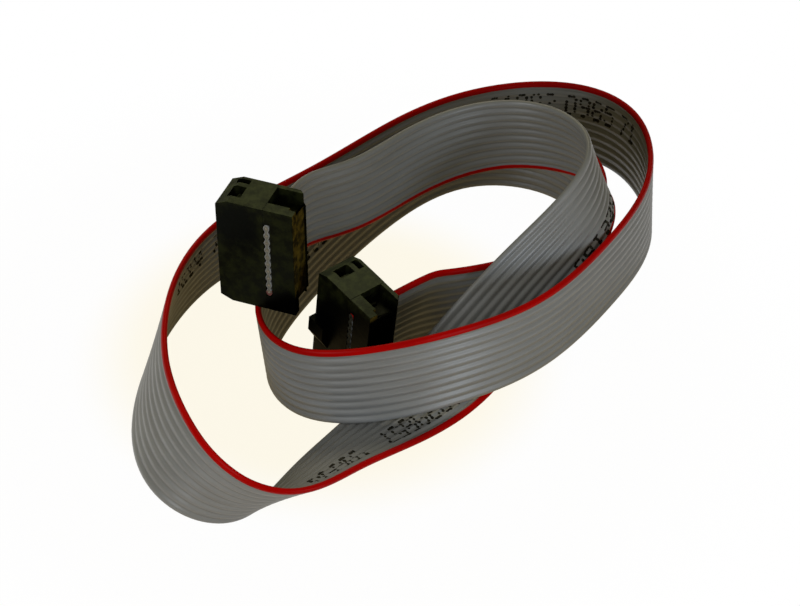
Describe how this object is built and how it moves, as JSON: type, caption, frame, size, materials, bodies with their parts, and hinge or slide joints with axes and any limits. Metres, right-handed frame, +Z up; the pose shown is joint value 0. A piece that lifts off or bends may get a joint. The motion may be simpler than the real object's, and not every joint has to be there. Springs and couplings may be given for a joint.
{
  "type": "ribbon cable",
  "caption": "Flat grey ribbon cable with a red edge core, laid in a loose coil on its edge, with a keyed two-row crimp socket on each end.",
  "frame": {"origin": "on the table under the middle of the coil's bounding box", "axes": "+Z up from the table, +Y along the coil's longer way, +X across it; the coil runs clockwise seen from above, from the raised socket to the low one"},
  "size_m": [0.0773, 0.0909, 0.0307],
  "materials": {
    "ribbon_pvc": "soft grey PVC insulation with a satin sheen, red along one edge core",
    "copper_strand": "stranded tinned copper, seen only at the cut ends",
    "socket_plastic": "near-black glass-filled polyester with a dull olive sheen",
    "contact_metal": "plated phosphor bronze spring contact"
  },
  "bodies": {
    "root": {"ribbon_insulation": "ribbon_pvc", "conductor_1": "copper_strand", "conductor_2": "copper_strand", "conductor_3": "copper_strand", "conductor_4": "copper_strand", "conductor_5": "copper_strand", "conductor_6": "copper_strand", "conductor_7": "copper_strand", "conductor_8": "copper_strand", "conductor_9": "copper_strand", "conductor_10": "copper_strand", "housing_a": "socket_plastic", "cover_a": "socket_plastic", "contact_a_1": "contact_metal", "contact_a_2": "contact_metal", "contact_a_3": "contact_metal", "contact_a_4": "contact_metal", "contact_a_5": "contact_metal", "contact_a_6": "contact_metal", "contact_a_7": "contact_metal", "contact_a_8": "contact_metal", "contact_a_9": "contact_metal", "contact_a_10": "contact_metal", "housing_b": "socket_plastic", "cover_b": "socket_plastic", "contact_b_1": "contact_metal", "contact_b_2": "contact_metal", "contact_b_3": "contact_metal", "contact_b_4": "contact_metal", "contact_b_5": "contact_metal", "contact_b_6": "contact_metal", "contact_b_7": "contact_metal", "contact_b_8": "contact_metal", "contact_b_9": "contact_metal", "contact_b_10": "contact_metal"}
  },
  "joints": []
}
